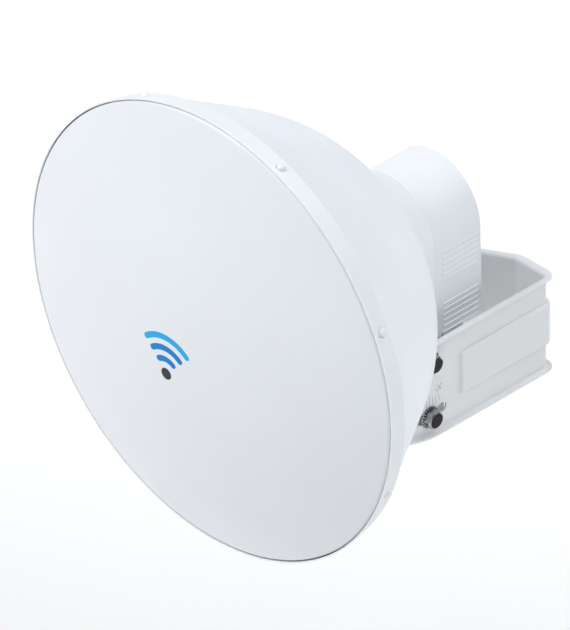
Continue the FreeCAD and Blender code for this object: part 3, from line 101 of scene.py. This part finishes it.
class Shader:
    """A Principled material under construction, textured in the part's own coordinates."""

    def __init__(self, name, colour, roughness, metallic=0.0):
        self.material = bpy.data.materials.new(name)
        self.material.use_nodes = True
        self.tree = self.material.node_tree
        self.principled = self.tree.nodes["Principled BSDF"]
        self.principled.inputs["Base Color"].default_value = (*colour, 1)
        self.principled.inputs["Roughness"].default_value = roughness
        self.principled.inputs["Metallic"].default_value = metallic
        self.colour = colour
        self.roughness = roughness
        self.place = self.node("ShaderNodeTexCoord").outputs["Object"]

    def node(self, kind, **settings):
        made = self.tree.nodes.new(kind)
        for name, value in settings.items():
            setattr(made, name, value)
        return made

    def link(self, source, target):
        self.tree.links.new(source, target)

    def noise(self, size, detail=3.0, rough=0.5, stretch=(1, 1, 1)):
        """Noise whose blobs are about size metres across."""
        mapping = self.node("ShaderNodeMapping")
        mapping.inputs["Scale"].default_value = stretch
        self.link(self.place, mapping.inputs["Vector"])
        noise = self.node("ShaderNodeTexNoise")
        noise.inputs["Scale"].default_value = 1 / size
        noise.inputs["Detail"].default_value = detail
        noise.inputs["Roughness"].default_value = rough
        self.link(mapping.outputs["Vector"], noise.inputs["Vector"])
        return noise.outputs["Fac"]

    def spread(self, value, low, high):
        """The noise value, whose middle part is stretched to run from low to high."""
        ranged = self.node("ShaderNodeMapRange")
        ranged.inputs["From Min"].default_value = 0.3
        ranged.inputs["From Max"].default_value = 0.7
        ranged.inputs["To Min"].default_value = low
        ranged.inputs["To Max"].default_value = high
        self.link(value, ranged.inputs["Value"])
        return ranged.outputs["Result"]

    def vary_colour(self, value, other):
        """Blend towards another colour where the value is high."""
        mix = self.node("ShaderNodeMix", data_type="RGBA")
        mix.inputs["A"].default_value = (*self.colour, 1)
        mix.inputs["B"].default_value = (*other, 1)
        self.link(value, mix.inputs["Factor"])
        self.link(mix.outputs["Result"], self.principled.inputs["Base Color"])
        return self

    def vary_roughness(self, value, change):
        """Let the roughness follow the value, up to change above and below."""
        low = max(self.roughness - change, 0.02)
        high = min(self.roughness + change, 1.0)
        self.link(self.spread(value, low, high), self.principled.inputs["Roughness"])
        return self

    def bump(self, *layers):
        """Stack bumps, each a (value, height in metres) pair."""
        normal = None
        for value, height in layers:
            bump = self.node("ShaderNodeBump")
            bump.inputs["Strength"].default_value = 1.0
            bump.inputs["Distance"].default_value = height
            self.link(value, bump.inputs["Height"])
            if normal is not None:
                self.link(normal, bump.inputs["Normal"])
            normal = bump.outputs["Normal"]
        self.link(normal, self.principled.inputs["Normal"])
        return self

    def dull(self, level):
        """Less mirror-like gloss, as on a matte print or blackened metal."""
        self.principled.inputs["Specular IOR Level"].default_value = level
        return self

    def coat(self, weight, roughness):
        """A thin clear layer on top."""
        self.principled.inputs["Coat Weight"].default_value = weight
        self.principled.inputs["Coat Roughness"].default_value = roughness
        return self


def shade(colour, amount):
    return tuple(channel * amount for channel in colour)


def powder_coat(name, colour):
    """Satin powder coat on sheet metal: orange peel, faint cloudiness and duller patches."""
    made = Shader(name, colour, 0.42)
    peel = made.noise(1.6 * MM, detail=2)
    grain = made.noise(0.35 * MM, detail=1)
    clouds = made.noise(60 * MM, detail=4)
    made.vary_colour(made.spread(clouds, 0, 1), shade(colour, 0.965))
    made.vary_roughness(clouds, 0.06)
    made.bump((peel, 0.012 * MM), (grain, 0.004 * MM))
    return made.material


def moulded(name, colour):
    """Injection-moulded plastic with a fine spark-eroded texture and faint flow marks."""
    made = Shader(name, colour, 0.5)
    grain = made.noise(0.45 * MM, detail=3, rough=0.7)
    flow = made.noise(35 * MM, detail=5, stretch=(1, 1, 0.35))
    made.vary_colour(made.spread(flow, 0, 1), shade(colour, 0.97))
    made.vary_roughness(flow, 0.05)
    made.bump((grain, 0.006 * MM), (flow, 0.02 * MM))
    return made.material


def cover_plastic():
    """The front cover's smooth weatherproof plastic."""
    colour = (0.775, 0.80, 0.83)
    made = Shader("radome_plastic", colour, 0.38)
    grain = made.noise(0.5 * MM, detail=2)
    swell = made.noise(70 * MM, detail=3)
    made.vary_colour(made.spread(swell, 0, 1), shade(colour, 0.98))
    made.vary_roughness(swell, 0.04)
    made.bump((grain, 0.003 * MM), (swell, 0.05 * MM))
    return made.coat(0.15, 0.25).material


def steel(name, colour, roughness):
    """Plated steel, finely scratched along one way and a little stained."""
    made = Shader(name, colour, roughness, 1.0)
    scratches = made.noise(0.4 * MM, detail=4, stretch=(6, 1, 1))
    stain = made.noise(5 * MM, detail=4)
    made.vary_colour(made.spread(stain, 0, 1), shade(colour, 0.72))
    made.vary_roughness(stain, 0.08)
    made.bump((scratches, 0.006 * MM))
    return made.material


def painted_shade_and_reflection_steel():
    """Near-black dull steel with a brown cast: the painted reflection of dark surroundings on the bolt ends,
    and painted shade between the flange teeth.
    """
    colour = (0.020, 0.014, 0.012)
    made = Shader("painted_shade_and_reflection_steel", colour, 0.62)
    grain = made.noise(0.6 * MM, detail=4)
    made.vary_colour(made.spread(grain, 0, 1), shade(colour, 1.5))
    made.vary_roughness(grain, 0.08)
    made.bump((grain, 0.01 * MM))
    return made.dull(0.2).material


def turned_metal(name, colour, roughness):
    """Machined metal with fine rings round the dish's axis."""
    made = Shader(name, colour, roughness, 1.0)
    rings = made.node("ShaderNodeTexWave", wave_type="RINGS", rings_direction="Y")
    rings.inputs["Scale"].default_value = 700
    rings.inputs["Distortion"].default_value = 1.5
    made.link(made.place, rings.inputs["Vector"])
    stain = made.noise(9 * MM, detail=4)
    made.vary_colour(made.spread(stain, 0, 1), shade(colour, 0.85))
    made.vary_roughness(stain, 0.06)
    made.bump((rings.outputs["Fac"], 0.004 * MM))
    return made.material


def soft_plastic(name, colour, roughness):
    """Rubber, cable jacket and small plastic pieces."""
    made = Shader(name, colour, roughness)
    grain = made.noise(0.6 * MM, detail=4, rough=0.65)
    dust = made.noise(8 * MM, detail=5)
    lighter = tuple(min(channel * 1.25 + 0.01, 1) for channel in colour)
    made.vary_colour(made.spread(dust, 0, 1), lighter)
    made.vary_roughness(dust, 0.08)
    made.bump((grain, 0.015 * MM))
    return made.material


def printed_ink(name, colour):
    """Screen-printed ink with a slightly uneven film."""
    made = Shader(name, colour, 0.5)
    film = made.noise(1.2 * MM, detail=4)
    made.vary_colour(made.spread(film, 0, 1), shade(colour, 0.86))
    made.vary_roughness(film, 0.06)
    made.bump((film, 0.004 * MM))
    return made.dull(0.2).material


def circuit_board():
    """Green solder resist with copper tracks showing through as lighter lines."""
    colour = (0.015, 0.13, 0.05)
    made = Shader("circuit_board", colour, 0.35)
    tracks = made.node("ShaderNodeTexBrick")
    tracks.inputs["Scale"].default_value = 90
    tracks.inputs["Mortar Size"].default_value = 0.06
    tracks.inputs["Color1"].default_value = (0, 0, 0, 1)
    tracks.inputs["Color2"].default_value = (0.25, 0.25, 0.25, 1)
    tracks.inputs["Mortar"].default_value = (1, 1, 1, 1)
    turn = made.node("ShaderNodeMapping")
    turn.inputs["Rotation"].default_value = (math.pi / 2, 0, 0)
    made.link(made.place, turn.inputs["Vector"])
    made.link(turn.outputs["Vector"], tracks.inputs["Vector"])
    made.vary_colour(tracks.outputs["Color"], (0.05, 0.30, 0.12))
    made.bump((tracks.outputs["Color"], 0.03 * MM))
    return made.coat(0.5, 0.15).material


def clear_plastic():
    """Light pipes of the status lights."""
    made = Shader("clear_pipe", (0.75, 0.9, 0.95), 0.12)
    made.principled.inputs["Transmission Weight"].default_value = 0.85
    made.principled.inputs["IOR"].default_value = 1.49
    haze = made.noise(0.8 * MM, detail=2)
    made.vary_roughness(haze, 0.06)
    made.bump((haze, 0.004 * MM))
    return made.material


def paper_floor():
    """Plain pale paper with a faint fibre."""
    made = Shader("studio_floor", (0.92, 0.91, 0.905), 0.85)
    fibre = made.noise(4 * MM, detail=3)
    made.vary_colour(made.spread(fibre, 0, 1), (0.91, 0.90, 0.895))
    made.bump((fibre, 0.02 * MM))
    return made.material


WHITE_PAINT = (0.82, 0.83, 0.835)
WHITE_PLASTIC = (0.83, 0.855, 0.88)

finishes = {
    "bracket": powder_coat("bracket_powder_coat", WHITE_PAINT),
    "dish": powder_coat("dish_powder_coat", (0.87, 0.905, 0.935)),
    "ring": powder_coat("ring_powder_coat", (0.86, 0.885, 0.90)),
    "radome": cover_plastic(),
    "shroud": moulded("shroud_plastic_fine", WHITE_PLASTIC),
    "radio": moulded("radio_plastic_fine", (0.78, 0.79, 0.80)),
    "cast": powder_coat("radio_cast_paint", (0.74, 0.75, 0.76)),
    "steel": steel("bright_zinc", (0.46, 0.47, 0.49), 0.26),
    "can": steel("tinned_can", (0.62, 0.63, 0.63), 0.32),
    "aluminium": turned_metal("turned_aluminium", (0.72, 0.73, 0.74), 0.3),
    "brass": turned_metal("turned_brass", (0.72, 0.52, 0.24), 0.28),
    "rubber": soft_plastic("seal_rubber_matte", (0.03, 0.03, 0.032), 0.75),
    "jacket": soft_plastic("lead_jacket_satin", (0.025, 0.025, 0.027), 0.5),
    "washer": soft_plastic("nylon_washer", (0.45, 0.46, 0.47), 0.5),
    "catch": soft_plastic("catch_plastic_grey", (0.18, 0.19, 0.21), 0.5),
    "lens": soft_plastic("turned_polymer", (0.80, 0.79, 0.75), 0.45),
    "board": circuit_board(),
    "pipe": clear_plastic(),
    "blue_ink": printed_ink("blue_ink", (0.004, 0.23, 0.62)),
    "pale_ink": printed_ink("pale_ink", (0.02, 0.42, 0.80)),
    "dark_ink": printed_ink("dark_ink", (0.035, 0.04, 0.05)),
    "grey_ink": printed_ink("grey_ink", (0.36, 0.37, 0.39)),
    # Near-black steel that paints a dark reflection on the bolt ends and shade in the gaps between the
    # flange teeth.
    "shade_and_reflection_black": painted_shade_and_reflection_steel(),
}

FINISH_OF_NODE = {
    "mount_band": "bracket",
    "tilt_yoke": "bracket",
    "reflector_dish": "dish",
    "radome": "radome",
    "rim_ring": "ring",
    "rim_screws": "ring",
    "radome_gasket": "rubber",
    "radio_seal": "rubber",
    "neck": "shroud",
    "radio_plate": "shroud",
    "radio_shroud": "shroud",
    "radio_front_case": "radio",
    "port_cover": "radio",
    "radio_rear_case": "cast",
    "feed_tube": "aluminium",
    "feed_nut": "aluminium",
    "feed_housing": "aluminium",
    "splash_plate": "aluminium",
    "radio_cradle": "aluminium",
    "feed_lens": "lens",
    "feed_probes": "brass",
    "feed_sockets": "brass",
    "radio_sockets": "brass",
    "jumper_plugs": "brass",
    "ground_screw": "brass",
    "jumper_left": "jacket",
    "jumper_right": "jacket",
    "hub_screws": "steel",
    "shroud_screws": "steel",
    "case_screws": "steel",
    "bolt_nuts": "steel",
    "pivot_bolts": "steel",
    "lock_bolts": "steel",
    "board_shield": "can",
    "ethernet_jacks": "can",
    "radio_board": "board",
    "status_lights": "pipe",
    "pivot_spacers": "washer",
    "cover_catch": "catch",
}


def paint_nodes():
    """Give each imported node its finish."""
    for name, finish in FINISH_OF_NODE.items():
        slots = nodes[name].data.materials
        slots.clear()
        slots.append(finishes[finish])


# ---------------------------------------------------------------- new pieces

def new_piece(name, mesh, finish, body):
    """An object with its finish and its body."""
    mesh.materials.append(finishes[finish])
    piece = bpy.data.objects.new(name, mesh)
    bpy.context.scene.collection.objects.link(piece)
    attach(piece, body)
    return piece


def mesh_from(name, bm, smooth=False):
    """A mesh of the shells made so far, with every face turned outwards."""
    bmesh.ops.recalc_face_normals(bm, faces=bm.faces)
    mesh = bpy.data.meshes.new(name)
    bm.to_mesh(mesh)
    bm.free()
    for face in mesh.polygons:
        face.use_smooth = smooth
    return mesh


def solid_from_rings(bm, outlines):
    """A closed shell through outlines of equal length: a cap, the bands between them, a cap."""
    rings = [[bm.verts.new(point) for point in outline] for outline in outlines]
    count = len(rings[0])
    for lower, upper in zip(rings, rings[1:]):
        for here in range(count):
            after = (here + 1) % count
            bm.faces.new((lower[here], lower[after], upper[after], upper[here]))
    bm.faces.new(rings[0])
    bm.faces.new(rings[-1])


def full_circle(steps):
    """Angles evenly round a circle."""
    return [math.tau * step / steps for step in range(steps)]


def on_dome(point, lift, centre, radius):
    """A point of the front cover over (across, up) from its apex, raised by lift."""
    across, up = point
    depth = math.sqrt(radius * radius - across * across - up * up)
    spot = Vector((across, -depth, up))
    return centre + spot * ((radius + lift) / radius)


def arc_section(reach, half, turn, end_gap):
    """The two edges of an arc-shaped stroke at one angle; it is round at its ends."""
    narrowest = 0.1 * MM
    inset = max(half - end_gap, 0)
    width = math.sqrt(max(half * half - inset * inset, narrowest * narrowest))
    return [(radius * math.sin(turn), radius * math.cos(turn)) for radius in (reach - width, reach + width)]


def emblem_dot(place, skin):
    """The round dot that the arcs fan out from."""
    dot_radius = 5 * MM
    outline = [(dot_radius * math.cos(turn), dot_radius * math.sin(turn)) for turn in full_circle(40)]
    bm = bmesh.new()
    solid_from_rings(bm, [[place(point, lift) for point in outline] for lift in skin])
    new_piece("emblem_dot", mesh_from("emblem_dot", bm), "dark_ink", DISH)


def emblem_arc(label, reach, ink, place, skin):
    """One printed arc, made of cross-sections that lie closer together at its round ends."""
    half = 2.5 * MM
    spread = math.radians(45)
    steps = 72
    below, above = skin
    sections = []
    for step in range(steps + 1):
        turn = spread * (1 - math.cos(math.pi * step / steps)) - spread
        inner, outer = arc_section(reach, half, turn, (spread - abs(turn)) * reach)
        sections.append([place(inner, below), place(outer, below), place(outer, above), place(inner, above)])
    bm = bmesh.new()
    solid_from_rings(bm, sections)
    new_piece(label, mesh_from(label, bm), ink, DISH)


def make_emblem():
    """A generic sign on the front cover: three arcs fanning out over a dot."""
    centre, radius = dome_shape()
    foot = -15 * MM
    skin = (-0.05 * MM, 0.09 * MM)

    def place(point, lift):
        return on_dome((point[0], point[1] + foot), lift, centre, radius)

    emblem_dot(place, skin)
    emblem_arc("emblem_arc_1", 13 * MM, "blue_ink", place, skin)
    emblem_arc("emblem_arc_2", 22.5 * MM, "blue_ink", place, skin)
    emblem_arc("emblem_arc_3", 32 * MM, "pale_ink", place, skin)


def on_flank(turn, reach, aside=0.0, lift=0.0):
    """A point on the bracket's right flank: a distance from the pivot, turned from straight down."""
    y = PIVOT.y + reach * math.sin(turn) + aside * math.cos(turn)
    z = PIVOT.z - reach * math.cos(turn) + aside * math.sin(turn)
    return Vector((FLANK + lift, y, z))


def make_scale():
    """Degree marks beside the tilt slot, every five degrees, with a longer one at zero."""
    half = 0.18 * MM
    skin = (-0.03 * MM, 0.05 * MM)
    short_mark = (33.8 * MM, 41 * MM)
    long_mark = (31 * MM, 42.5 * MM)
    bm = bmesh.new()
    for degrees in range(-15, 20, 5):
        turn = math.radians(degrees)
        near, far = long_mark if degrees == 0 else short_mark
        corners = ((near, -half), (far, -half), (far, half), (near, half))
        solid_from_rings(bm, [[on_flank(turn, reach, aside, lift) for reach, aside in corners]
                              for lift in skin])
    new_piece("tilt_scale", mesh_from("tilt_scale", bm), "grey_ink", BRACKET)


def text_mesh(body, size, thickness):
    """A flat mesh of centred text in the XY plane."""
    text = bpy.data.curves.new("number_text", "FONT")
    text.body = body
    text.size = size
    text.extrude = thickness
    text.align_x = "CENTER"
    text.align_y = "CENTER"
    holder = bpy.data.objects.new("number_holder", text)
    bpy.context.scene.collection.objects.link(holder)
    bpy.context.view_layer.update()
    depsgraph = bpy.context.evaluated_depsgraph_get()
    mesh = bpy.data.meshes.new_from_object(holder.evaluated_get(depsgraph))
    bpy.data.objects.remove(holder)
    return mesh


def make_scale_number():
    """The number at the scale's end, lying on the bracket's side and slightly turned."""
    behind_pivot = 10.1 * MM
    below_pivot = 28.7 * MM
    lift = 0.01 * MM
    mesh = text_mesh("15°", 6.0 * MM, 0.04 * MM)
    facing = Matrix(((0, 0, 1), (1, 0, 0), (0, 1, 0))).to_4x4()
    spin = Matrix.Rotation(math.radians(20), 4, "Z")
    place = Vector((FLANK + lift, PIVOT.y + behind_pivot, PIVOT.z - below_pivot))
    mesh.transform(Matrix.Translation(place) @ facing @ spin)
    mesh.name = "tilt_number"
    new_piece("tilt_number", mesh, "grey_ink", BRACKET)


def around(axis_point, x, radius, turn):
    """A point at a radius and angle about an axis along X."""
    return Vector((x, axis_point.y + radius * math.sin(turn), axis_point.z + radius * math.cos(turn)))


def bolt_ends():
    """Each bolt's label, the middle of its pair, the X of its head's end, and its side and sign."""
    for name in ("pivot_bolts", "lock_bolts"):
        low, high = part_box(name)
        for side, sign in (("left", -1), ("right", 1)):
            yield name[:-1], (low + high) / 2, high.x, side, sign


def make_bolt_faces():
    """Domed end of each bolt head, with a turned rim and a shallow dimple, coloured near black as a painted
    reflection of dark surroundings.
    """
    # Each pair is a radius and a height above the head's end, in millimetres.
    profile = [(6.05, -0.10), (6.05, 0.10), (5.6, 0.30), (4.9, 0.22), (4.4, 0.34), (2.0, 0.42), (1.2, 0.30)]
    for name, middle, end, side, sign in bolt_ends():
        bm = bmesh.new()
        solid_from_rings(bm, [[around(middle, sign * (end + lift * MM), reach * MM, turn)
                               for turn in full_circle(48)] for reach, lift in profile])
        label = f"{name}_face_{side}"
        # The near-black finish here is a painted reflection, not the bolt's own colour.
        new_piece(label, mesh_from(label, bm, smooth=True), "shade_and_reflection_black", DISH)


def flange_wedge(middle, sign, turn, half, ends):
    """Two outlines of a small wedge on a bolt's flange; each end is a radius and two heights."""
    crest_share = 0.6
    outlines = []
    for reach, low, high in ends:
        foot = sign * (BOLT_SEAT + low * MM)
        crest = sign * (BOLT_SEAT + high * MM)
        corners = ((foot, -half), (crest, -half * crest_share), (crest, half * crest_share), (foot, half))
        outlines.append([around(middle, x, reach * MM, turn + aside) for x, aside in corners])
    return outlines


def make_flange_teeth():
    """Bright locking teeth round each bolt's flange, with near-black pieces between them that paint the
    shade in the gaps.
    """
    count = 22
    # Inner and outer end: a radius, the foot's height and the crest's height, in millimetres.
    tooth = ((6.9, 1.2, 2.25), (9.05, 0.15, 1.15))
    root = ((6.6, 1.9, 2.16), (8.6, 0.8, 1.14))
    # The second kind of piece is near black: painted shade in the gaps between the teeth.
    parts = (("teeth", tooth, 0.52, 0.0, "steel"), ("painted_shade_roots", root, 0.9, 0.5, "shade_and_reflection_black"))
    for name, middle, _, side, sign in bolt_ends():
        for part, ends, fill, shift, finish in parts:
            bm = bmesh.new()
            for number in range(count):
                turn = math.tau * (number + shift) / count
                solid_from_rings(bm, flange_wedge(middle, sign, turn, fill * math.pi / count, ends))
            label = f"{name}_{part}_{side}"
            new_piece(label, mesh_from(label, bm), finish, DISH)


def rib_outlines(low, high, inset):
    """Outlines of a small raised rib on a face along Y: its foot, its shoulder and its crest."""
    sunk, shoulder, crest_height = -0.2 * MM, 0.25 * MM, 0.7 * MM
    foot = [(low.x, low.z), (high.x, low.z), (high.x, high.z), (low.x, high.z)]
    crest = [(low.x + inset, low.z + inset), (high.x - inset, low.z + inset),
             (high.x - inset, high.z - inset), (low.x + inset, high.z - inset)]
    levels = ((foot, sunk), (foot, shoulder), (crest, crest_height))
    return [[Vector((x, low.y + height, z)) for x, z in outline] for outline, height in levels]


def make_cover_grips():
    """Grip ribs on the back of the sliding port cover."""
    count = 5
    first_height, spacing, rib_width = 6 * MM, 3 * MM, 1.2 * MM
    half_length = 14 * MM
    low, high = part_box("port_cover")
    bm = bmesh.new()
    for number in range(count):
        height = low.z + first_height + number * spacing
        start = Vector((-half_length, high.y, height))
        end = Vector((half_length, high.y, height + rib_width))
        solid_from_rings(bm, rib_outlines(start, end, 0.4 * MM))
    new_piece("port_cover_grips", mesh_from("port_cover_grips", bm), "radio", COVER)


# ---------------------------------------------------------------- studio

# Name, direction that the light comes from, strength, softness in degrees, colour.
SUNS = (
    ("key", (-0.90, -0.80, 1.0), 1.68, 40, (0.985, 0.99, 1.0)),
    ("front_top", (0.0, -0.40, 0.80), 0.82, 40, (0.95, 0.975, 1.0)),
    ("right_top", (0.55, 0.0, 0.80), 0.90, 40, (0.94, 0.97, 1.0)),
    ("back", (0.15, 1.0, 0.80), 1.00, 50, (0.93, 0.965, 1.0)),
)


def make_sun(name, towards, strength, softness, colour):
    """A broad soft light shining from the direction given."""
    data = bpy.data.lights.new(name, "SUN")
    data.energy = strength
    data.angle = math.radians(softness)
    data.color = colour
    light = bpy.data.objects.new(name, data)
    light.rotation_mode = "QUATERNION"
    light.rotation_quaternion = Vector(towards).to_track_quat("Z", "Y")
    bpy.context.scene.collection.objects.link(light)


def make_floor():
    """A round floor, so that its far edge is level from every side."""
    drop = 300 * MM
    radius = 4.5
    turns = full_circle(96)
    level = cad_box[0].z - drop
    edge = [(radius * math.cos(turn), radius * math.sin(turn), level) for turn in turns]
    mesh = bpy.data.meshes.new("studio_floor")
    mesh.from_pydata(edge, [], [tuple(range(len(edge)))])
    mesh.materials.append(paper_floor())
    floor = bpy.data.objects.new("studio_floor", mesh)
    bpy.context.scene.collection.objects.link(floor)


def make_world():
    """A pale surround that is brightest at the horizon and softer overhead."""
    horizon_strength = 0.9
    overhead_strength = 0.16
    fade_height = 0.06
    world = bpy.data.worlds.new("studio")
    world.use_nodes = True
    tree = world.node_tree
    background = tree.nodes["Background"]
    background.inputs["Color"].default_value = (0.95, 0.975, 1.0, 1)
    place = tree.nodes.new("ShaderNodeTexCoord")
    parts = tree.nodes.new("ShaderNodeSeparateXYZ")
    fade = tree.nodes.new("ShaderNodeMapRange")
    fade.inputs["From Min"].default_value = 0.0
    fade.inputs["From Max"].default_value = fade_height
    fade.inputs["To Min"].default_value = horizon_strength
    fade.inputs["To Max"].default_value = overhead_strength
    tree.links.new(place.outputs["Generated"], parts.inputs["Vector"])
    tree.links.new(parts.outputs["Z"], fade.inputs["Value"])
    tree.links.new(fade.outputs["Result"], background.inputs["Strength"])
    bpy.context.scene.world = world


def make_camera():
    """Straight isometric view from the front right, above."""
    view_width = 0.466
    to_the_right, upwards = 54.1 * MM, 11.7 * MM
    distance = 2
    back = Vector((1, -1, 1)).normalized()
    right = Vector((1, 1, 0)).normalized()
    up = back.cross(right)
    face = Vector((0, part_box("rim_ring")[0].y, middle_of("rim_ring").z))
    target = face + right * to_the_right + up * upwards
    data = bpy.data.cameras.new("camera")
    data.type = "ORTHO"
    data.ortho_scale = view_width
    data.clip_end = 20
    camera = bpy.data.objects.new("camera", data)
    camera.rotation_mode = "QUATERNION"
    camera.rotation_quaternion = (-back).to_track_quat("-Z", "Y")
    camera.location = target + back * distance
    bpy.context.scene.collection.objects.link(camera)
    bpy.context.scene.camera = camera


make_camera()
make_world()
for sun in SUNS:
    make_sun(*sun)
make_floor()
bpy.context.scene.view_settings.view_transform = "Standard"
paint_nodes()
make_emblem()
make_scale()
make_scale_number()
make_bolt_faces()
make_flange_teeth()
make_cover_grips()
